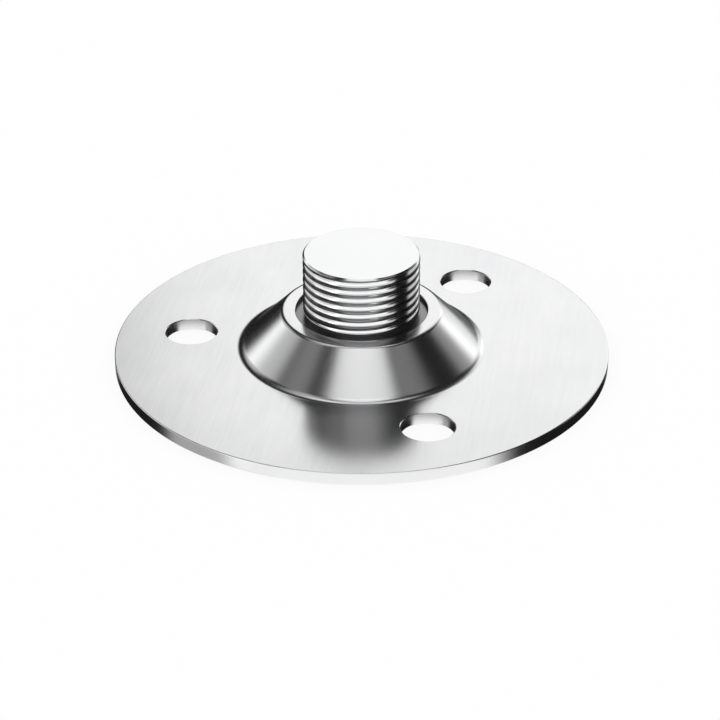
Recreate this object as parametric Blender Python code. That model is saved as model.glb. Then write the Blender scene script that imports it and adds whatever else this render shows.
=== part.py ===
"""Threaded mounting flange: a pressed steel base plate with a turned, threaded stud held in its hub.

Units are metres, +Z is up. The origin lies on the axis of the flange, in the plane of the mounting face.
"""
import math

import bmesh
import bpy

MM = 0.001

# Base plate, pressed from one sheet
SHEET = 2.1 * MM
BOLT_CIRCLE = 60.0 * MM
BOLT_HOLE = 9.0 * MM
BOLT_COUNT = 3
FIRST_BOLT_ANGLE = math.radians(180.0)
RIM_LAND = 8.0 * MM                      # sheet between a bolt hole and the rim
PUNCHED_EDGE = 0.15 * MM                 # rounding that the punch leaves on every cut edge

# Hub, a truncated cone raised from the same sheet
HUB_RISE = 6.9 * MM                      # from the top of the plate to the top of the hub
HUB_RING = 2.4 * MM                      # flat ring round the recess, to the corner of the cone
CONE_ANGLE = math.radians(45.0)
HUB_EDGE_RADIUS = 1.2 * MM
HUB_FOOT_RADIUS = 2.2 * MM
INNER_BEND_RADIUS = 0.4 * MM

# Stud, turned from bar
THREAD_DIAMETER = 20.0 * MM
THREAD_PITCH = 1.5 * MM
THREAD_ANGLE = math.radians(60.0)
LEAD_IN_TURNS = 0.75                     # turns that the cutting tool makes above the end of the stud
STUD_RISE = 10.7 * MM                    # from the top of the hub to the end of the stud
STUD_CHAMFER = 0.3 * MM
PLAIN_RISE = 0.4 * MM                    # plain shank that stands above the hub, below the thread
SHANK_RELIEF = 0.3 * MM                  # how far the plain shank lies inside the thread's crests
RECESS_WIDTH = 1.35 * MM                 # from the thread's crests to the wall of the hub's bore
RECESS_DEPTH = 0.75 * MM                 # from the top of the hub down to the stud's shoulder
HEAD_THICKNESS = 3.0 * MM
HEAD_RIM = 0.75 * MM
HEAD_CHAMFER = 0.4 * MM

# Clearance between the plate and what sits in it
FIT = 0.3 * MM

# Faceting of the round shapes
PLATE_SEGMENTS = 96
STUD_SEGMENTS = 48
HOLE_SEGMENTS = 36
CHORD_ERROR = 0.015 * MM                 # how far a facet may cut inside its arc

# Sizes that follow from the ones above
plate_top = SHEET
hub_top = plate_top + HUB_RISE
hub_ceiling = hub_top - SHEET
thread_radius = THREAD_DIAMETER / 2
shank_radius = thread_radius - SHANK_RELIEF
bore_radius = thread_radius + RECESS_WIDTH
hub_corner = bore_radius + HUB_RING
foot_corner = hub_corner + HUB_RISE / math.tan(CONE_ANGLE)
bolt_radius = BOLT_CIRCLE / 2
disc_radius = bolt_radius + BOLT_HOLE / 2 + RIM_LAND
stud_top = hub_top + STUD_RISE


def corner_shift(distance):
    """How far a corner of the cone moves inwards when its two faces move down by a distance."""
    return distance * math.tan(CONE_ANGLE / 2)


def round_corners(corners, closed):
    """Outline through (radius, height, rounding) corners, with an arc in place of each rounded one."""
    count = len(corners)
    outline = []
    for index, (x, z, rounding) in enumerate(corners):
        is_end = not closed and index in (0, count - 1)
        if rounding <= 0 or is_end:
            outline.append((x, z))
            continue
        before = corners[index - 1]
        after = corners[(index + 1) % count]
        into = math.atan2(z - before[1], x - before[0])
        out = math.atan2(after[1] - z, after[0] - x)
        turn = (out - into + math.pi) % (2 * math.pi) - math.pi
        reach = rounding * math.tan(abs(turn) / 2)
        start = (x - reach * math.cos(into), z - reach * math.sin(into))
        side = math.copysign(1.0, turn)
        centre = (start[0] - side * rounding * math.sin(into), start[1] + side * rounding * math.cos(into))
        arc_step = 2 * math.acos(max(0.0, 1 - CHORD_ERROR / rounding))
        steps = math.ceil(abs(turn) / arc_step)
        for step in range(steps + 1):
            heading = into + turn * step / steps
            outline.append((centre[0] + side * rounding * math.sin(heading),
                            centre[1] - side * rounding * math.cos(heading)))
    return outline


def new_object(name, bm, material=None):
    """Object made of a bmesh, whose faces are turned to point outwards."""
    bmesh.ops.recalc_face_normals(bm, faces=bm.faces)
    mesh = bpy.data.meshes.new(name)
    bm.to_mesh(mesh)
    bm.free()
    mesh.shade_smooth()
    mesh.set_sharp_from_angle(angle=math.radians(25.0))
    if material:
        mesh.materials.append(material)
    obj = bpy.data.objects.new(name, mesh)
    bpy.context.scene.collection.objects.link(obj)
    return obj


def turned(outline, segments, closed):
    """Solid turned round the Z axis from an outline in the XZ plane."""
    bm = bmesh.new()
    points = [bm.verts.new((x, 0.0, z)) for x, z in outline]
    edges = [bm.edges.new(pair) for pair in zip(points, points[1:])]
    if closed:
        edges.append(bm.edges.new((points[-1], points[0])))
    bmesh.ops.spin(bm, geom=points + edges, cent=(0, 0, 0), axis=(0, 0, 1), dvec=(0, 0, 0),
                   angle=2 * math.pi, steps=segments, use_merge=True)
    bmesh.ops.remove_doubles(bm, verts=bm.verts, dist=0.001 * MM)
    return bm


def helical_groove():
    """Cutter for the thread: the V between two crests, wound down the stud and lifted out at its end."""
    flank = math.tan(THREAD_ANGLE / 2)
    crest_flat = THREAD_PITCH / 8
    root_flat = THREAD_PITCH / 6
    overrun = crest_flat / 4                       # how far the V stands out of the bar
    mouth = (THREAD_PITCH - crest_flat) / 2 + overrun * flank
    root = root_flat / 2
    depth = (mouth - root) / flank
    thread_end = hub_top + PLAIN_RISE
    length = stud_top + LEAD_IN_TURNS * THREAD_PITCH - thread_end
    steps = math.ceil(length / THREAD_PITCH * STUD_SEGMENTS)
    lift_steps = STUD_SEGMENTS // 2
    bm = bmesh.new()
    sections = []
    for step in range(steps + 1):
        angle = -2 * math.pi * step / STUD_SEGMENTS
        height = thread_end + length - THREAD_PITCH * step / STUD_SEGMENTS
        lift = depth * max(0.0, 1 - (steps - step) / lift_steps)
        outer = thread_radius + overrun + lift
        inner = outer - depth
        section = [(outer, mouth), (inner, root), (inner, -root), (outer, -mouth)]
        sections.append([bm.verts.new((r * math.cos(angle), r * math.sin(angle), height + z))
                         for r, z in section])
    for here, following in zip(sections, sections[1:]):
        for index in range(4):
            after = (index + 1) % 4
            bm.faces.new((here[index], here[after], following[after], following[index]))
    bm.faces.new(sections[0])
    bm.faces.new(reversed(sections[-1]))
    bmesh.ops.triangulate(bm, faces=bm.faces)
    return bm


def bolt_hole(angle):
    """Cutter for one bolt hole: a cylinder that flares where it leaves the sheet's two faces."""
    radius = BOLT_HOLE / 2
    beyond = SHEET / 2
    flare = radius + PUNCHED_EDGE + beyond
    outline = [(0.0, plate_top + beyond), (flare, plate_top + beyond), (radius, plate_top - PUNCHED_EDGE),
               (radius, PUNCHED_EDGE), (flare, -beyond), (0.0, -beyond)]
    bm = turned(outline, HOLE_SEGMENTS, closed=False)
    bmesh.ops.translate(bm, verts=bm.verts,
                        vec=(bolt_radius * math.cos(angle), bolt_radius * math.sin(angle), 0.0))
    return bm


def cut(target, name, bm):
    """Takes a cutter away from an object with a Boolean that stays live."""
    cutter = new_object(name, bm)
    cutter.hide_render = True
    cutter.display_type = "WIRE"
    modifier = target.modifiers.new(name, "BOOLEAN")
    modifier.operation = "DIFFERENCE"
    modifier.solver = "EXACT"
    modifier.object = cutter


def plated_steel(name, roughness):
    """Bright zinc-plated steel."""
    material = bpy.data.materials.new(name)
    material.use_nodes = True
    shader = material.node_tree.nodes["Principled BSDF"]
    shader.inputs["Base Color"].default_value = (0.80, 0.81, 0.82, 1.0)
    shader.inputs["Metallic"].default_value = 1.0
    shader.inputs["Roughness"].default_value = roughness
    return material


def base_plate():
    """Round plate with its conical hub, the bore in the hub's top and the bolt holes."""
    under_hub = hub_corner - corner_shift(SHEET)
    under_foot = foot_corner - corner_shift(SHEET)
    corners = [
        (bore_radius, hub_top, PUNCHED_EDGE),
        (hub_corner, hub_top, HUB_EDGE_RADIUS),
        (foot_corner, plate_top, HUB_FOOT_RADIUS),
        (disc_radius, plate_top, PUNCHED_EDGE),
        (disc_radius, 0.0, PUNCHED_EDGE),
        (under_foot, 0.0, HUB_FOOT_RADIUS + SHEET),
        (under_hub, hub_ceiling, INNER_BEND_RADIUS),
        (bore_radius, hub_ceiling, PUNCHED_EDGE),
    ]
    bm = turned(round_corners(corners, closed=True), PLATE_SEGMENTS, closed=True)
    plate = new_object("base_plate", bm, plated_steel("plate_zinc", 0.22))
    for index in range(BOLT_COUNT):
        angle = FIRST_BOLT_ANGLE + 2 * math.pi * index / BOLT_COUNT
        cut(plate, f"bolt_hole_cutter_{index + 1}", bolt_hole(angle))
    return plate


def threaded_stud():
    """Stud with its head under the hub, its shoulder in the hub's bore and its thread above."""
    head_top = hub_ceiling - FIT
    head_corner = hub_corner - corner_shift(SHEET + FIT)
    head_radius = head_corner + (HEAD_THICKNESS - HEAD_RIM) / math.tan(CONE_ANGLE)
    head_bottom = head_top - HEAD_THICKNESS
    shoulder_radius = bore_radius - FIT
    shoulder_top = hub_top - RECESS_DEPTH
    thread_end = hub_top + PLAIN_RISE
    corners = [
        (0.0, head_bottom, 0.0),
        (head_radius - HEAD_CHAMFER, head_bottom, 0.0),
        (head_radius, head_bottom + HEAD_CHAMFER, 0.0),
        (head_radius, head_bottom + HEAD_RIM, 0.0),
        (head_corner, head_top, INNER_BEND_RADIUS),
        (shoulder_radius, head_top, 0.0),
        (shoulder_radius, shoulder_top, 0.0),
        (shank_radius, shoulder_top, 0.0),
        (shank_radius, thread_end - SHANK_RELIEF, 0.0),
        (thread_radius, thread_end, 0.0),
        (thread_radius, stud_top - STUD_CHAMFER, 0.0),
        (thread_radius - STUD_CHAMFER, stud_top, 0.0),
        (0.0, stud_top, 0.0),
    ]
    bm = turned(round_corners(corners, closed=False), STUD_SEGMENTS, closed=False)
    stud = new_object("threaded_stud", bm, plated_steel("stud_zinc", 0.18))
    cut(stud, "thread_cutter", helical_groove())
    return stud


for old in list(bpy.data.objects):
    bpy.data.objects.remove(old)
base_plate()
threaded_stud()
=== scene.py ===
"""Looks of the threaded mounting flange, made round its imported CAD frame.

The pressed plate and the turned stud are made again here with fine, round surfaces, bright zinc finishes
and a light tent that the metal mirrors. Lengths are metres and angles are radians, unless a name ends
in _deg.
"""
from __future__ import annotations

import logging
import math
import sys
from dataclasses import dataclass
from enum import Enum
from typing import Any, Union

import bmesh
import bpy
from mathutils import Matrix, Vector

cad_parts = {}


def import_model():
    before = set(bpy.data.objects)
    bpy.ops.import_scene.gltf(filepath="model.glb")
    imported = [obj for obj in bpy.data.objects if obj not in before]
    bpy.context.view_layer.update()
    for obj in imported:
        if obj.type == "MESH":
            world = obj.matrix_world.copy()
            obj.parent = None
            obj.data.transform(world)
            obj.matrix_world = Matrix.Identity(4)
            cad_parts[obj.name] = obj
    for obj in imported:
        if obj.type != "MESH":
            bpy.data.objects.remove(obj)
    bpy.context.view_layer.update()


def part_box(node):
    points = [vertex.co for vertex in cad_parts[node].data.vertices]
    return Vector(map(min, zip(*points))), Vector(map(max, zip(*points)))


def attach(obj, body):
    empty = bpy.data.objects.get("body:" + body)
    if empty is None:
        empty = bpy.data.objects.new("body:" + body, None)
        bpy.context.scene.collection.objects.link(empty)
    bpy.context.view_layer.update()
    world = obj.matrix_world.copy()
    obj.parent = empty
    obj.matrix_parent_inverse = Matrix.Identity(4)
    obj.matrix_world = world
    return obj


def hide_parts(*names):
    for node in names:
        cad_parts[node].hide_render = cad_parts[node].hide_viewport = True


LOG = logging.getLogger("threaded_mounting_flange")
MM = 0.001
MERGE = 0.0005 * MM

Value = Union[float, int, bool, tuple, "Wire", bpy.types.Material]
Corner = tuple[float, float, float]
Colour = tuple[float, float, float]


class Wire:
    """The output of a node, on which plain arithmetic adds the Math nodes that work it out."""

    def __init__(self, tree: "NodeTree", socket: bpy.types.NodeSocket) -> None:
        """Keeps a socket with the tree that it belongs to.

        Args:
            tree: The tree that new nodes go into.
            socket: The output socket.
        """
        self.tree = tree
        self.socket = socket

    def sibling(self, name: str) -> "Wire":
        """Returns another output of the same node, by its name."""
        return Wire(self.tree, self.socket.node.outputs[name])

    def _math(self, operation: str, *values: Value) -> "Wire":
        """Adds a Math node.

        Args:
            operation: The node's operation.
            values: Its numbers or wires, in order.

        Returns:
            The node's output.
        """
        return self.tree.add("ShaderNodeMath", {"operation": operation}, dict(enumerate(values)))

    def __add__(self, other: Value) -> "Wire":
        """Returns this plus the other."""
        return self._math("ADD", self, other)

    def __radd__(self, other: Value) -> "Wire":
        """Returns the other plus this."""
        return self._math("ADD", other, self)

    def __sub__(self, other: Value) -> "Wire":
        """Returns this minus the other."""
        return self._math("SUBTRACT", self, other)

    def __rsub__(self, other: Value) -> "Wire":
        """Returns the other minus this."""
        return self._math("SUBTRACT", other, self)

    def __mul__(self, other: Value) -> "Wire":
        """Returns this times the other."""
        return self._math("MULTIPLY", self, other)

    def __rmul__(self, other: Value) -> "Wire":
        """Returns the other times this."""
        return self._math("MULTIPLY", other, self)

    def __truediv__(self, other: Value) -> "Wire":
        """Returns this over the other."""
        return self._math("DIVIDE", self, other)

    def __abs__(self) -> "Wire":
        """Returns this without its sign."""
        return self._math("ABSOLUTE", self)

    def __pow__(self, other: Value) -> "Wire":
        """Returns this to the power of the other."""
        return self._math("POWER", self, other)

    def at_least(self, other: Value) -> "Wire":
        """Returns the greater of this and the other."""
        return self._math("MAXIMUM", self, other)

    def nearest(self) -> "Wire":
        """Returns the whole number nearest to this."""
        return self._math("ROUND", self)

    def cosine(self) -> "Wire":
        """Returns the cosine of this angle."""
        return self._math("COSINE", self)

    def angle_to(self, other: "Wire") -> "Wire":
        """Returns the angle of the point that has this as its Y and the other as its X."""
        return self._math("ARCTAN2", self, other)

    def wrapped(self, limit: float) -> "Wire":
        """Returns this angle brought between minus the limit and the limit."""
        return self._math("WRAP", self, limit, -limit)

    def fade(self, start: float, end: float, low: Value = 0.0, high: Value = 1.0) -> "Wire":
        """Returns a smooth passage from low to high while this goes from start to end."""
        return self.tree.add(
            "ShaderNodeMapRange",
            {"interpolation_type": "SMOOTHSTEP"},
            {"Value": self, "From Min": start, "From Max": end, "To Min": low, "To Max": high},
        )


class NodeTree:
    """A node tree that is filled by one method, whatever the kind of node."""

    def __init__(self, tree: bpy.types.NodeTree) -> None:
        """Keeps the tree and empties it.

        Args:
            tree: A shader tree or a geometry tree.
        """
        self.tree = tree
        self.tree.nodes.clear()

    def add(self, kind: str, settings: dict[str, Any] | None = None,
            sockets: dict[str | int, Value] | None = None) -> Wire | None:
        """Adds a node.

        Args:
            kind: The node's type.
            settings: Its own settings, which are set first.
            sockets: The values or wires of its inputs, by name or place.

        Returns:
            The node's first output in use, or None if it has none.
        """
        node = self.tree.nodes.new(kind)
        for name, value in (settings or {}).items():
            setattr(node, name, value)
        for key, value in (sockets or {}).items():
            socket = node.inputs[key]
            if isinstance(value, Wire):
                self.tree.links.new(value.socket, socket)
            else:
                socket.default_value = value
        outputs = [socket for socket in node.outputs if socket.enabled]
        return Wire(self, outputs[0]) if outputs else None


class GeometryTree(NodeTree):
    """A Geometry Nodes tree with named inputs, which works on an object's drawing."""

    def __init__(self, name: str, inputs: dict[str, str]) -> None:
        """Makes the tree with its sockets.

        Args:
            name: The tree's name.
            inputs: The kind of each input socket, by its name.
        """
        super().__init__(bpy.data.node_groups.new(name, "GeometryNodeTree"))
        face = self.tree.interface
        face.new_socket("Geometry", in_out="INPUT", socket_type="NodeSocketGeometry")
        face.new_socket("Geometry", in_out="OUTPUT", socket_type="NodeSocketGeometry")
        self.identifiers = {
            label: face.new_socket(label, in_out="INPUT", socket_type=kind).identifier
            for label, kind in inputs.items()
        }
        self.entry = self.add("NodeGroupInput")

    def given(self, name: str) -> Wire:
        """Returns the tree's input with this name."""
        return self.entry.sibling(name)

    def attribute(self, name: str) -> Wire:
        """Returns a number that the drawing holds for each of its points."""
        return self.add("GeometryNodeInputNamedAttribute", {"data_type": "FLOAT"}, {"Name": name})

    def vector(self, x: Value = 0.0, y: Value = 0.0, z: Value = 0.0) -> Wire:
        """Returns a vector of three numbers or wires."""
        return self.add("ShaderNodeCombineXYZ", {}, {"X": x, "Y": y, "Z": z})

    def outline(self, role: "Role") -> Wire:
        """Takes one outline out of the drawing and rounds its corners.

        Args:
            role: Which of the drawing's outlines is wanted.

        Returns:
            The rounded outline, as a curve.
        """
        chosen = self.add("FunctionNodeCompare", {"data_type": "FLOAT", "operation": "EQUAL"},
                          {"A": self.attribute("role"), "B": float(role.value), "Epsilon": 0.1})
        part = self.add("GeometryNodeSeparateGeometry", {"domain": "POINT"},
                        {"Geometry": self.given("Geometry"), "Selection": chosen})
        curve = self.add("GeometryNodeMeshToCurve", {}, {"Mesh": part})
        return self.add("GeometryNodeFilletCurve", {"mode": "POLY"},
                        {"Curve": curve, "Count": self.given("Corner Steps"),
                         "Radius": self.attribute("rounding"), "Limit Radius": False})

    def turned(self, outline: Wire, segments: Wire) -> Wire:
        """Turns an outline round the Z axis.

        Args:
            outline: The curve to turn, with its radius as X and its height as Y.
            segments: The number of segments of the turn.

        Returns:
            The turned mesh, closed at its seams and poles.
        """
        core = self.given("Core Radius")
        moved = self.add("GeometryNodeSetPosition", {}, {"Geometry": outline,
                                                         "Offset": self.vector(x=0.0 - core)})
        path = self.add("GeometryNodeCurvePrimitiveCircle", {"mode": "RADIUS"},
                        {"Resolution": segments, "Radius": core})
        mesh = self.swept(path, moved, False)
        return self.add("GeometryNodeMergeByDistance", {}, {"Geometry": mesh, "Distance": MERGE})

    def swept(self, path: Wire, section: Wire, capped: bool) -> Wire:
        """Sweeps a section along a path and keeps it upright.

        Args:
            path: The curve to follow.
            section: The section, with its outward side as X and its height as Y.
            capped: Whether the ends are closed.

        Returns:
            The swept mesh.
        """
        upright = self.add("GeometryNodeSetCurveNormal", {"mode": "Z_UP"}, {"Curve": path})
        return self.add("GeometryNodeCurveToMesh", {},
                        {"Curve": upright, "Profile Curve": section, "Fill Caps": capped})

    def cut(self, solid: Wire, tool: Wire) -> Wire:
        """Returns a solid with a tool taken away from it."""
        return self.add("GeometryNodeMeshBoolean", {"operation": "DIFFERENCE", "solver": "EXACT"},
                        {"Mesh 1": solid, "Mesh 2": tool})

    def deliver(self, mesh: Wire) -> None:
        """Shades the mesh smooth between its sharp edges, gives it its material and ends the tree.

        Args:
            mesh: The finished mesh.
        """
        angle = self.add("GeometryNodeInputMeshEdgeAngle")
        soft = self.add("FunctionNodeCompare", {"data_type": "FLOAT", "operation": "LESS_THAN"},
                        {"A": angle, "B": self.given("Sharp Angle")})
        faces = self.add("GeometryNodeSetShadeSmooth", {"domain": "FACE"},
                         {"Geometry": mesh, "Shade Smooth": True})
        edges = self.add("GeometryNodeSetShadeSmooth", {"domain": "EDGE"},
                         {"Geometry": faces, "Shade Smooth": soft})
        whole = self.add("GeometryNodeRealizeInstances", {}, {"Geometry": edges})
        dressed = self.add("GeometryNodeSetMaterial", {},
                           {"Geometry": whole, "Material": self.given("Material")})
        self.add("NodeGroupOutput", {}, {"Geometry": dressed})


class Role(Enum):
    """What an outline in a drawing is for."""

    BODY = 0
    TOOL = 1


class Drawing:
    """The outlines that a piece is turned and cut from, as corners with a rounding each.

    Heights run down the sheet, because a sweep lays a section's Y along -Z.
    """

    def __init__(self, name: str) -> None:
        """Starts an empty drawing.

        Args:
            name: The name of the piece that is made from it.
        """
        self.name = name
        self.points: list[Corner] = []
        self.edges: list[tuple[int, int]] = []
        self.roundings: list[float] = []
        self.roles: list[float] = []

    def outline(self, role: Role, corners: list[Corner], closed: bool) -> None:
        """Adds an outline.

        Args:
            role: What the outline is for.
            corners: Its corners as radius, height and rounding.
            closed: Whether its last corner joins its first.
        """
        first = len(self.points)
        count = len(corners)
        self.points += [(radius, -height, 0.0) for radius, height, _ in corners]
        self.roundings += [rounding for _, _, rounding in corners]
        self.roles += [float(role.value)] * count
        self.edges += [(first + step, first + step + 1) for step in range(count - 1)]
        if closed:
            self.edges.append((first + count - 1, first))

    def build(self, tree: GeometryTree, values: dict[str, Value]) -> bpy.types.Object:
        """Makes the piece.

        Args:
            tree: The Geometry Nodes tree that turns and cuts the outlines.
            values: The tree's inputs, by name.

        Returns:
            The finished piece, a plain mesh with its place in its points.
        """
        mesh = bpy.data.meshes.new(self.name + "_drawing")
        mesh.from_pydata(self.points, self.edges, [])
        for label, numbers in (("rounding", self.roundings), ("role", self.roles)):
            mesh.attributes.new(label, "FLOAT", "POINT").data.foreach_set("value", numbers)
        sheet = bpy.data.objects.new(self.name + "_drawing", mesh)
        bpy.context.scene.collection.objects.link(sheet)
        modifier = sheet.modifiers.new("make", "NODES")
        modifier.node_group = tree.tree
        for label, value in values.items():
            modifier[tree.identifiers[label]] = value
        flats = sheet.modifiers.new("flats", "WEIGHTED_NORMAL")
        flats.keep_sharp = True
        flats.weight = 100
        evaluated = sheet.evaluated_get(bpy.context.evaluated_depsgraph_get())
        piece = bpy.data.objects.new(self.name, bpy.data.meshes.new_from_object(evaluated))
        bpy.context.scene.collection.objects.link(piece)
        bpy.data.objects.remove(sheet)
        return piece


class Grain(Enum):
    """The way that the faint marks in a surface run."""

    ROLLED = "rolled"
    TURNED = "turned"


class FinishTree(NodeTree):
    """A shader tree whose patterns lie in the object's own coordinates, in metres."""

    def __init__(self, material: bpy.types.Material) -> None:
        """Starts the tree with the place on the object and its distance from the axis.

        Args:
            material: The material that the tree belongs to.
        """
        material.use_nodes = True
        super().__init__(material.node_tree)
        self.place = self.add("ShaderNodeTexCoord").sibling("Object")
        self.x = self.add("ShaderNodeSeparateXYZ", {}, {"Vector": self.place})
        self.y, self.z = self.x.sibling("Y"), self.x.sibling("Z")
        self.radius = (self.x * self.x + self.y * self.y) ** 0.5

    def noise(self, place: Wire, scales: tuple[float, float, float], detail: float) -> Wire:
        """Returns cloudy noise about zero.

        Args:
            place: The point that the noise is read at.
            scales: How many clouds there are to a metre, along each axis.
            detail: How many finer layers it has.

        Returns:
            The noise, from about -0.5 to 0.5.
        """
        stretched = self.add("ShaderNodeVectorMath", {"operation": "MULTIPLY"}, {0: place, 1: scales})
        return self.add("ShaderNodeTexNoise", {}, {"Vector": stretched, "Scale": 1.0, "Detail": detail}) - 0.5

    def marks(self, grain: Grain) -> Wire:
        """Returns the fine marks that the rolls or the lathe left.

        Args:
            grain: The way that the marks run.

        Returns:
            The marks, from about -0.5 to 0.5.
        """
        if grain is Grain.ROLLED:
            return self.noise(self.place, (2600.0, 110.0, 2600.0), 3.0)
        wound = self.add("ShaderNodeCombineXYZ", {}, {"X": self.radius, "Y": self.y.angle_to(self.x) * MM,
                                                      "Z": self.z})
        return self.noise(wound, (5200.0, 900.0, 5200.0), 3.0)

    def blend(self, share: Wire, first: Value, second: Colour) -> Wire:
        """Mixes two colours.

        Args:
            share: How much there is of the second.
            first: The first colour, as a wire or as four numbers.
            second: The second colour.

        Returns:
            The colour between them.
        """
        return self.add("ShaderNodeMix", {"data_type": "RGBA"}, {0: share, 6: first, 7: (*second, 1.0)})


@dataclass(frozen=True)
class ZincFinish:
    """Bright zinc plating on steel, with the faint marks of how the metal was made.

    Shade is painted into the colour in the recess near the axis, from a height down to a reach below it, and
    into the walls of any bolt holes; the roughness rises there too.
    It is burnished along the edges, which are named by the radius at which the burnish starts.
    """

    name: str
    slot: str
    grain: Grain
    roughness: float
    edge_radius: float
    edge_width: float
    recess_radius: float
    recess_top: float
    recess_reach: float = 2.4 * MM
    bolt_count: int = 0
    bolt_circle_radius: float = 30.0 * MM
    bolt_hole_radius: float = 4.5 * MM
    first_bolt_angle: float = math.pi
    wall_shade_low: float = 0.3 * MM
    wall_shade_high: float = 2.06 * MM
    colour: Colour = (0.89, 0.89, 0.895)
    cloud_colour: Colour = (0.865, 0.87, 0.88)
    painted_shade_colour: Colour = (0.42, 0.42, 0.425)
    mottle: float = 0.05
    marks: float = 0.05
    burnish: float = 0.05
    dullness: float = 0.2
    relief: float = 0.0012 * MM

    def hole_wall_shade(self, tree: FinishTree) -> Wire | float:
        """Returns the painted shade on the walls of the bolt holes, darkest towards the top of each wall.

        Args:
            tree: The finish's tree.

        Returns:
            The dullness, which is 0 away from the holes.
        """
        if not self.bolt_count:
            return 0.0
        sector = math.pi / self.bolt_count
        angle = (tree.y.angle_to(tree.x) - self.first_bolt_angle).wrapped(sector)
        across = tree.radius ** 2 + self.bolt_circle_radius ** 2
        squared = across - tree.radius * angle.cosine() * (2 * self.bolt_circle_radius)
        wall = squared.at_least(0.0) ** 0.5
        # Painted shade on the walls of the bolt holes, growing from the lower height to the upper one.
        inside = wall.fade(self.bolt_hole_radius + 0.1 * MM, self.bolt_hole_radius + 0.02 * MM)
        return inside * tree.z.fade(self.wall_shade_low, self.wall_shade_high, 0.08, 0.75)

    def material(self) -> bpy.types.Material:
        """Returns the finish as a material."""
        material = bpy.data.materials.new(self.name)
        tree = FinishTree(material)
        clouds = tree.noise(tree.place, (90.0, 90.0, 90.0), 4.0)
        marks = tree.marks(self.grain)
        edge = tree.radius.fade(self.edge_radius, self.edge_radius + self.edge_width)
        worn = edge * (clouds * 3.0 + 0.5).at_least(0.0)
        # Painted shade in the recess: the colour darkens towards a grey near the axis, from recess_top down
        # to recess_reach below it.
        recess_shade = tree.z.fade(self.recess_top, self.recess_top - 0.25 * MM)
        floor = self.recess_top - self.recess_reach
        recess_shade = recess_shade * tree.z.fade(floor, floor + 0.2 * MM)
        inside = tree.radius.fade(self.recess_radius + 0.2 * MM, self.recess_radius)
        # The painted shade is the recess shade or the hole-wall shade, whichever is stronger.
        painted_shade = (recess_shade * inside).at_least(self.hole_wall_shade(tree))
        plated = tree.blend(clouds + 0.5, (*self.colour, 1.0), self.cloud_colour)
        # Mixes the painted shade's grey into the colour; the roughness also rises there.
        mix = tree.blend(painted_shade, plated, self.painted_shade_colour)
        rough = (clouds * self.mottle + marks * self.marks + self.roughness
                 + painted_shade * self.dullness - worn * self.burnish)
        bump = tree.add("ShaderNodeBump", {}, {"Strength": 1.0, "Distance": self.relief, "Height": marks})
        shader = tree.add("ShaderNodeBsdfPrincipled", {}, {
            "Base Color": mix, "Metallic": 1.0, "Roughness": rough, "Normal": bump})
        tree.add("ShaderNodeOutputMaterial", {}, {"Surface": shader})
        return material


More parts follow.
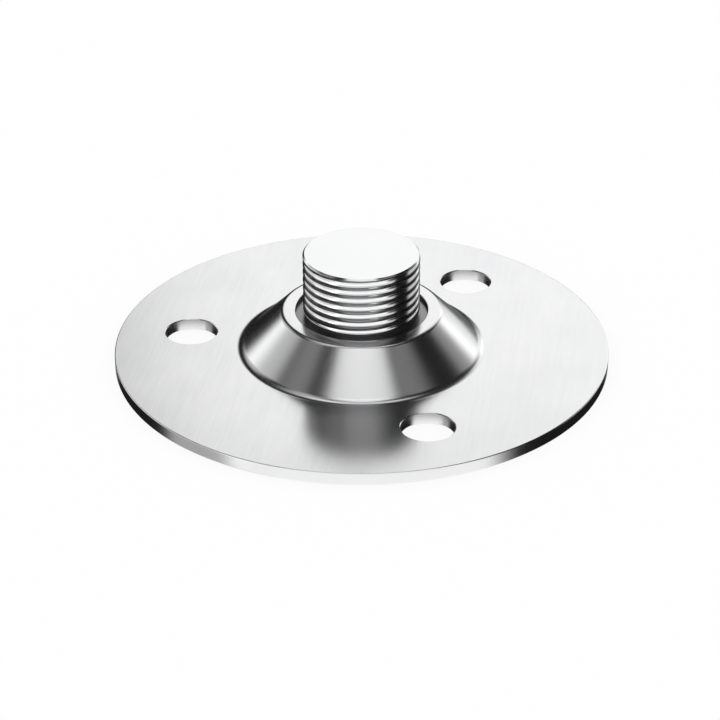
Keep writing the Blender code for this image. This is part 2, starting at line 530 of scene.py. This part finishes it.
@dataclass
class BasePlate:
    """The plate pressed from one sheet, with its conical hub and its ring of bolt holes."""

    finish: ZincFinish
    bolt_circle: float = 60.0 * MM
    bolt_hole: float = 9.0 * MM
    bolt_count: int = 3
    first_bolt_angle: float = math.pi
    sheet: float = 2.1 * MM
    punched_edge: float = 0.15 * MM
    bore: float = 22.7 * MM
    hub_ring: float = 2.4 * MM
    cone_angle: float = math.radians(45.0)
    hub_edge_radius: float = 1.2 * MM
    hub_foot_radius: float = 2.2 * MM
    inner_bend_radius: float = 0.4 * MM
    segments: int = 384
    hole_segments: int = 128
    corner_steps: int = 10

    @property
    def radius(self) -> float:
        """The radius of the disc, from the frame."""
        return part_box("base_plate")[1].x

    @property
    def hub_top(self) -> float:
        """The height of the hub's ring, from the frame."""
        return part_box("base_plate")[1].z

    @property
    def hub_corner(self) -> float:
        """The radius of the corner between the hub's ring and its cone."""
        return self.bore / 2 + self.hub_ring

    def inner_shift(self, distance: float) -> float:
        """How far a corner of the cone moves inwards when its faces move down by a distance."""
        return distance * math.tan(self.cone_angle / 2)

    def drawing(self) -> Drawing:
        """Returns the plate's section and the section of the drill, which flares at both faces."""
        foot = self.hub_corner + (self.hub_top - self.sheet) / math.tan(self.cone_angle)
        inner = self.inner_shift(self.sheet)
        ceiling = self.hub_top - self.sheet
        edge = self.punched_edge
        drawing = Drawing("flange_plate")
        drawing.outline(Role.BODY, [
            (self.bore / 2, self.hub_top, edge),
            (self.hub_corner, self.hub_top, self.hub_edge_radius),
            (foot, self.sheet, self.hub_foot_radius),
            (self.radius, self.sheet, edge),
            (self.radius, 0.0, edge),
            (foot - inner, 0.0, self.hub_foot_radius + self.sheet),
            (self.hub_corner - inner, ceiling, self.inner_bend_radius),
            (self.bore / 2, ceiling, edge),
        ], closed=True)
        hole = self.bolt_hole / 2
        beyond = self.sheet / 2
        flare = hole + edge + beyond
        drawing.outline(Role.TOOL, [
            (0.0, self.sheet + beyond, 0.0),
            (flare, self.sheet + beyond, 0.0),
            (hole, self.sheet - edge, edge),
            (hole, edge, edge),
            (flare, -beyond, 0.0),
            (0.0, -beyond, 0.0),
        ], closed=False)
        return drawing

    def tree(self) -> GeometryTree:
        """Returns the tree that turns the plate and drills the ring of bolt holes."""
        tree = GeometryTree("turn_and_drill", {
            "Segments": "NodeSocketInt", "Hole Segments": "NodeSocketInt", "Corner Steps": "NodeSocketInt",
            "Core Radius": "NodeSocketFloat", "Bolt Circle Radius": "NodeSocketFloat",
            "Bolt Count": "NodeSocketInt", "First Bolt Angle": "NodeSocketFloat",
            "Sharp Angle": "NodeSocketFloat", "Material": "NodeSocketMaterial"})
        plate = tree.turned(tree.outline(Role.BODY), tree.given("Segments"))
        drill = tree.turned(tree.outline(Role.TOOL), tree.given("Hole Segments"))
        ring = tree.add("GeometryNodeMeshCircle", {"fill_type": "NONE"},
                        {"Vertices": tree.given("Bolt Count"), "Radius": tree.given("Bolt Circle Radius")})
        places = tree.add("GeometryNodeTransform", {},
                          {"Geometry": ring, "Rotation": tree.vector(z=tree.given("First Bolt Angle"))})
        drills = tree.add("GeometryNodeInstanceOnPoints", {}, {"Points": places, "Instance": drill})
        whole = tree.add("GeometryNodeRealizeInstances", {}, {"Geometry": drills})
        tree.deliver(tree.cut(plate, whole))
        return tree

    def build(self) -> bpy.types.Object:
        """Makes the plate, which stands for its CAD node.

        Returns:
            The finished piece.
        """
        piece = self.drawing().build(self.tree(), {
            "Segments": self.segments, "Hole Segments": self.hole_segments, "Corner Steps": self.corner_steps,
            "Core Radius": self.bolt_circle / 2, "Bolt Circle Radius": self.bolt_circle / 2,
            "Bolt Count": self.bolt_count, "First Bolt Angle": self.first_bolt_angle,
            "Sharp Angle": math.radians(30.0), "Material": self.finish.material()})
        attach(piece, "root")
        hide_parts("base_plate")
        return piece


@dataclass
class ThreadedStud:
    """The turned stud, with its thread, its shoulder in the hub's bore and its head under the hub."""

    finish: ZincFinish
    plate: BasePlate
    thread_diameter: float = 20.0 * MM
    pitch: float = 1.5 * MM
    thread_depth: float = 0.2 * MM
    fullness: float = 2.0
    root_rounding: float = 0.02
    lead_in_turns: float = 0.75
    run_out_turns: float = 0.5
    row_height: float = 0.04 * MM
    chamfer: float = 0.3 * MM
    plain_rise: float = 0.4 * MM
    shank_relief: float = 0.3 * MM
    recess_depth: float = 0.75 * MM
    seat: float = 0.02 * MM
    head_thickness: float = 3.0 * MM
    head_rim: float = 0.75 * MM
    head_chamfer: float = 0.4 * MM
    segments: int = 240
    corner_steps: int = 6

    @property
    def top(self) -> float:
        """The height of the stud's end, from the frame."""
        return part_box("threaded_stud")[1].z

    @property
    def thread_end(self) -> float:
        """The height at which the thread's last groove has left the bar."""
        return self.plate.hub_top + self.plain_rise

    def threaded_rows(self) -> list[Corner]:
        """Returns the rows of the threaded stretch, up to the chamfered end."""
        radius = self.thread_diameter / 2
        top, bottom = self.top, self.thread_end
        count = math.ceil((top - bottom) / self.row_height)
        heights = [bottom + (top - bottom) * step / count for step in range(1, count + 1)]
        return [(min(radius, radius - self.chamfer + top - height), height, 0.0) for height in heights]

    def drawing(self) -> Drawing:
        """Returns the bar's section, with a row of points for each step up the thread."""
        radius = self.thread_diameter / 2
        shank = radius - self.shank_relief
        plate = self.plate
        head_top = plate.hub_top - plate.sheet - self.seat
        head_corner = plate.hub_corner - plate.inner_shift(plate.sheet + self.seat)
        head_radius = head_corner + (self.head_thickness - self.head_rim) / math.tan(plate.cone_angle)
        head_bottom = head_top - self.head_thickness
        shoulder = plate.bore / 2 - self.seat
        shoulder_top = plate.hub_top - self.recess_depth
        drawing = Drawing("flange_stud")
        drawing.outline(Role.BODY, [
            (0.0, head_bottom, 0.0),
            (head_radius - self.head_chamfer, head_bottom, 0.0),
            (head_radius, head_bottom + self.head_chamfer, 0.0),
            (head_radius, head_bottom + self.head_rim, 0.0),
            (head_corner, head_top, plate.inner_bend_radius),
            (shoulder, head_top, 0.0),
            (shoulder, shoulder_top, 0.0),
            (shank, shoulder_top, 0.0),
            (shank, self.thread_end - self.shank_relief, 0.0),
            (radius, self.thread_end, 0.0),
            *self.threaded_rows(),
            (0.0, self.top, 0.0),
        ], closed=False)
        return drawing

    def tree(self) -> GeometryTree:
        """Returns the tree that turns the bar and presses the groove into it along its helix."""
        tree = GeometryTree("turn_and_thread", {
            "Segments": "NodeSocketInt", "Corner Steps": "NodeSocketInt", "Core Radius": "NodeSocketFloat",
            "Thread Radius": "NodeSocketFloat", "Pitch": "NodeSocketFloat", "Depth": "NodeSocketFloat",
            "Fullness": "NodeSocketFloat", "Root Rounding": "NodeSocketFloat",
            "First Root": "NodeSocketFloat", "Thread End": "NodeSocketFloat",
            "Run-out Turns": "NodeSocketFloat",
            "Sharp Angle": "NodeSocketFloat", "Material": "NodeSocketMaterial"})
        bar = tree.turned(tree.outline(Role.BODY), tree.given("Segments"))
        place = tree.add("GeometryNodeInputPosition")
        x = tree.add("ShaderNodeSeparateXYZ", {}, {"Vector": place})
        y, z = x.sibling("Y"), x.sibling("Z")
        turn = y.angle_to(x) / (2 * math.pi)
        height = (z - tree.given("First Root")) / tree.given("Pitch") - turn
        passes = height.nearest()
        from_root = ((height - passes) ** 2 + tree.given("Root Rounding") ** 2) ** 0.5
        from_crest = (1 - from_root * 2).at_least(0.0)
        end = (tree.given("Thread End") - tree.given("First Root")) / tree.given("Pitch")
        strength = (turn + passes).fade(end, end + tree.given("Run-out Turns"))
        depth = from_crest ** tree.given("Fullness") * tree.given("Depth") * strength
        radius = (x * x + y * y) ** 0.5
        excess = (radius - tree.given("Thread Radius") + depth).at_least(0.0)
        outwards = tree.add("ShaderNodeVectorMath", {"operation": "NORMALIZE"}, {0: tree.vector(x, y, 0.0)})
        inwards = tree.add("ShaderNodeVectorMath", {"operation": "SCALE"},
                           {0: outwards, "Scale": 0.0 - excess})
        above = tree.add("FunctionNodeCompare", {"data_type": "FLOAT", "operation": "GREATER_THAN"},
                         {"A": z, "B": tree.given("Thread End")})
        threaded = tree.add("GeometryNodeSetPosition", {}, {
            "Geometry": bar, "Selection": above, "Offset": inwards})
        tree.deliver(tree.add("GeometryNodeFlipFaces", {}, {"Mesh": threaded}))
        return tree

    def build(self) -> bpy.types.Object:
        """Makes the stud, which stands for its CAD node.

        Returns:
            The finished piece.
        """
        piece = self.drawing().build(self.tree(), {
            "Segments": self.segments, "Corner Steps": self.corner_steps,
            "Core Radius": self.thread_diameter / 2,
            "Thread Radius": self.thread_diameter / 2, "Pitch": self.pitch, "Depth": self.thread_depth,
            "Fullness": self.fullness, "Root Rounding": self.root_rounding,
            "First Root": self.top + self.lead_in_turns * self.pitch, "Thread End": self.thread_end,
            "Run-out Turns": self.run_out_turns, "Sharp Angle": math.radians(30.0),
            "Material": self.finish.material()})
        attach(piece, "root")
        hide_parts("threaded_stud")
        return piece


@dataclass
class Viewpoint:
    """The camera, at the photograph's angle."""

    azimuth_deg: float = 8.93
    elevation_deg: float = 29.291
    roll_deg: float = -0.134
    distance: float = 434.5 * MM
    aim_right: float = -0.275 * MM
    aim_up: float = -2.787 * MM
    lens_mm: float = 125.74
    sensor_mm: float = 36.0

    def build(self, centre: Vector) -> bpy.types.Object:
        """Makes the camera and gives it to the scene.

        Args:
            centre: The point that the aim is measured from.

        Returns:
            The camera.
        """
        turn = math.radians(self.azimuth_deg)
        rise = math.radians(self.elevation_deg)
        back = Vector((math.sin(turn) * math.cos(rise), -math.cos(turn) * math.cos(rise), math.sin(rise)))
        right = Vector((math.cos(turn), math.sin(turn), 0.0))
        up = back.cross(right)
        data = bpy.data.cameras.new("camera")
        data.lens = self.lens_mm
        data.sensor_width = self.sensor_mm
        data.clip_start = 0.01
        data.clip_end = 20.0
        camera = bpy.data.objects.new("camera", data)
        axes = Matrix((right, up, back)).transposed().to_4x4()
        place = Matrix.Translation(centre + right * self.aim_right + up * self.aim_up + back * self.distance)
        camera.matrix_world = place @ axes @ Matrix.Rotation(math.radians(self.roll_deg), 4, "Z")
        bpy.context.scene.collection.objects.link(camera)
        bpy.context.scene.camera = camera
        return camera

    def mirrored(self, facing: float, slope: float) -> tuple[float, float]:
        """Works out where the viewer's gaze goes when a surface mirrors it.

        Args:
            facing: The azimuth that the surface faces, from the camera's towards the camera's right.
            slope: How steeply it faces upwards.

        Returns:
            The azimuth of the mirrored gaze, from the camera's, and its elevation.
        """
        rise = math.radians(self.elevation_deg)
        to_camera = Vector((math.cos(rise), 0.0, math.sin(rise)))
        level = math.cos(slope)
        normal = Vector((level * math.cos(facing), level * math.sin(facing), math.sin(slope)))
        away = normal * (2 * normal.dot(to_camera)) - to_camera
        return math.atan2(away.y, away.x), math.atan2(away.z, math.hypot(away.x, away.y))


@dataclass(frozen=True)
class Card:
    """A soft card of light, hung where one surface of the flange sends the viewer's gaze.

    The surface is told by the way that it faces, from the camera's azimuth towards the camera's right, and by
    how steeply it faces upwards: a wall has a slope of 0 and a level face one of 90.
    """

    surface: str
    facing_deg: float
    slope_deg: float
    half_width_deg: float
    half_height_deg: float
    level: float
    softness_deg: float = 12.0

    def glow(self, azimuth: Wire, elevation: Wire, viewpoint: Viewpoint) -> Wire:
        """Returns the card's light in a direction.

        Args:
            azimuth: The direction's azimuth from the camera's.
            elevation: The direction's elevation.
            viewpoint: The camera, whose mirrored gaze the card catches.

        Returns:
            The light, which fades at the card's edges.
        """
        turn, rise = viewpoint.mirrored(math.radians(self.facing_deg), math.radians(self.slope_deg))
        soft = math.radians(self.softness_deg) / 2
        width = math.radians(self.half_width_deg)
        height = math.radians(self.half_height_deg)
        across = abs((azimuth - turn).wrapped(math.pi))
        along = abs(elevation - rise)
        return across.fade(width + soft, width - soft) * along.fade(height + soft, height - soft) * self.level


@dataclass
class LightTent:
    """A dark tent round the object, hung with soft cards that the bright metal mirrors.

    Light that has met two surfaces or more gets only a share of the cards, less of the low ones than of the
    high ones, because the photograph shows such inner mirrorings darker than the outer ones.
    """

    viewpoint: Viewpoint
    cards: tuple[Card, ...]
    fill: float = 0.01
    low_inner_share: float = 0.22
    high_inner_share: float = 0.55
    low_end_deg: float = 40.0
    high_start_deg: float = 56.0
    radius: float = 1.5

    def material(self) -> bpy.types.Material:
        """Returns the tent's cloth with all its cards."""
        material = bpy.data.materials.new("tent_cards")
        material.use_nodes = True
        tree = NodeTree(material.node_tree)
        place = tree.add("ShaderNodeTexCoord").sibling("Object")
        x = tree.add("ShaderNodeSeparateXYZ", {}, {"Vector": place})
        y, z = x.sibling("Y"), x.sibling("Z")
        towards_camera = math.radians(self.viewpoint.azimuth_deg) - math.pi / 2
        azimuth = y.angle_to(x) - towards_camera
        elevation = z.angle_to((x * x + y * y) ** 0.5)
        light = tree.add("ShaderNodeValue")
        light.socket.default_value = self.fill
        for card in self.cards:
            light = light + card.glow(azimuth, elevation, self.viewpoint)
        low, high = math.radians(self.low_end_deg), math.radians(self.high_start_deg)
        share = elevation.fade(low, high, self.low_inner_share, self.high_inner_share)
        strength = tree.add("ShaderNodeLightPath").sibling("Ray Depth").fade(2.0, 1.0, share, 1.0)
        glow = tree.add("ShaderNodeEmission", {}, {"Color": light, "Strength": strength})
        tree.add("ShaderNodeOutputMaterial", {}, {"Surface": glow})
        return material

    def build(self) -> bpy.types.Object:
        """Makes the tent, which only mirror-like surfaces see.

        Returns:
            The tent.
        """
        mesh = bpy.data.meshes.new("light_tent")
        ball = bmesh.new()
        bmesh.ops.create_uvsphere(ball, u_segments=64, v_segments=32, radius=self.radius)
        ball.to_mesh(mesh)
        ball.free()
        mesh.materials.append(self.material())
        tent = bpy.data.objects.new("light_tent", mesh)
        bpy.context.scene.collection.objects.link(tent)
        tent.visible_camera = False
        tent.visible_diffuse = False
        tent.visible_transmission = False
        tent.visible_shadow = False
        return tent


@dataclass
class Floor:
    """The pale floor, which keeps a soft shadow of the object."""

    radius: float = 1.0
    drop: float = 0.05 * MM
    colour: Colour = (0.95, 0.95, 0.95)
    backdrop_share: float = 0.9

    def material(self) -> bpy.types.Material:
        """Returns a pale floor that is mostly white backdrop, and clear from below."""
        material = bpy.data.materials.new("pale_floor")
        material.use_nodes = True
        tree = NodeTree(material.node_tree)
        paint = tree.add("ShaderNodeBsdfDiffuse", {}, {"Color": (*self.colour, 1.0)})
        white = tree.add("ShaderNodeEmission", {}, {"Color": (1.0, 1.0, 1.0, 1.0), "Strength": 1.0})
        seen = tree.add("ShaderNodeLightPath").sibling("Is Camera Ray")
        top = tree.add("ShaderNodeMixShader", {}, {0: seen * self.backdrop_share, 1: paint, 2: white})
        below = tree.add("ShaderNodeNewGeometry").sibling("Backfacing")
        clear = tree.add("ShaderNodeBsdfTransparent")
        both = tree.add("ShaderNodeMixShader", {}, {0: below, 1: top, 2: clear})
        tree.add("ShaderNodeOutputMaterial", {}, {"Surface": both})
        return material

    def build(self) -> bpy.types.Object:
        """Makes the floor, which the metal does not mirror.

        Returns:
            The floor.
        """
        mesh = bpy.data.meshes.new("floor")
        disc = bmesh.new()
        bmesh.ops.create_circle(disc, cap_ends=True, segments=96, radius=self.radius,
                                matrix=Matrix.Translation((0.0, 0.0, -self.drop)))
        disc.to_mesh(mesh)
        disc.free()
        mesh.materials.append(self.material())
        floor = bpy.data.objects.new("floor", mesh)
        bpy.context.scene.collection.objects.link(floor)
        floor.visible_glossy = False
        return floor


@dataclass
class WhiteRoom:
    """The world: a plain soft light, in front of a white backdrop.

    The metal mirrors the light tent that stands in front of it, and not the backdrop.
    """

    light: float = 1.0

    def build(self) -> None:
        """Makes the world and gives it to the scene."""
        world = bpy.data.worlds.new("white_room")
        world.use_nodes = True
        tree = NodeTree(world.node_tree)
        path = tree.add("ShaderNodeLightPath")
        seen = path.sibling("Is Camera Ray").at_least(path.sibling("Is Glossy Ray"))
        seen = seen.at_least(path.sibling("Is Transmission Ray"))
        white = (1.0, 1.0, 1.0, 1.0)
        room = tree.add("ShaderNodeBackground", {}, {"Color": white, "Strength": self.light})
        backdrop = tree.add("ShaderNodeBackground", {}, {"Color": white, "Strength": 1.0})
        both = tree.add("ShaderNodeMixShader", {}, {0: seen, 1: room, 2: backdrop})
        tree.add("ShaderNodeOutputWorld", {}, {"Surface": both})
        world.cycles_visibility.glossy = False
        bpy.context.scene.world = world


def studio_cards() -> tuple[Card, ...]:
    """Returns the studio's cards, set against the photograph, one surface after another.

    Each takes its surface's facing and slope, its own half width and half height, and its level.
    """
    return (
        Card("level faces", 90.0, 81.0, 20.0, 10.0, 1.1),
        Card("overhead", 0.0, 60.0, 200.0, 6.0, 0.7),
        Card("hub corner, front", 0.0, 52.0, 60.0, 9.0, 0.9),
        Card("hub corner, left", -30.0, 60.0, 40.0, 9.0, 0.4),
        Card("foot bend, front", 0.0, 68.0, 60.0, 6.0, 0.9),
        Card("cone, front", 0.0, 45.0, 42.0, 6.0, 0.9),
        Card("cone, front left", -35.0, 45.0, 15.0, 8.0, 0.2),
        Card("cone, left", -63.0, 45.0, 25.0, 14.0, 0.5),
        Card("cone, front right", 28.0, 45.0, 15.0, 8.0, 0.18),
        Card("cone, right", 72.0, 45.0, 20.0, 14.0, 0.25),
        Card("cone, far right", 85.0, 45.0, 15.0, 20.0, 0.8),
        Card("thread, tops of ridges", 0.0, 36.0, 45.0, 9.0, 1.0),
        Card("thread, upper sides", 0.0, 20.0, 50.0, 10.0, 1.0),
        Card("thread, between the lines", 0.0, 28.0, 50.0, 8.0, 0.5),
        Card("thread and rim, middles", 0.0, 7.0, 63.0, 19.0, 0.75),
        Card("thread, left", -50.0, 22.0, 45.0, 18.0, 0.7),
        Card("thread, right", 65.0, 25.0, 20.0, 15.0, 0.6),
        Card("rim, left", -38.0, 3.0, 25.0, 25.0, 0.4),
        Card("thread, lower sides", 5.0, -8.0, 60.0, 13.0, 1.0),
        Card("underside", 0.0, -19.0, 200.0, 22.0, 0.8),
        Card("underside, seen from below", 0.0, -56.0, 22.0, 8.0, 0.6),
    )


def main() -> None:
    """Builds the flange and its studio, and reports each piece."""
    logging.basicConfig(level=logging.INFO, format="%(name)s: %(message)s", stream=sys.stdout)
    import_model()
    plate = BasePlate(ZincFinish(
        "plate_zinc", "plate_zinc", Grain.ROLLED, roughness=0.2, edge_radius=42.2 * MM, edge_width=0.25 * MM,
        recess_radius=11.4 * MM, recess_top=8.95 * MM, bolt_count=3))
    stud = ThreadedStud(ZincFinish(
        "stud_zinc", "stud_zinc", Grain.TURNED, roughness=0.15, edge_radius=9.92 * MM, edge_width=0.08 * MM,
        recess_radius=11.4 * MM, recess_top=9.5 * MM), plate)
    for part in (plate, stud):
        piece = part.build()
        LOG.info("%s has %d faces", piece.name, len(piece.data.polygons))
    viewpoint = Viewpoint()
    viewpoint.build(Vector((0.0, 0.0, plate.sheet)))
    LightTent(viewpoint, studio_cards()).build()
    Floor().build()
    WhiteRoom().build()
    bpy.context.scene.view_settings.view_transform = "Standard"


if __name__ == "__main__":
    main()
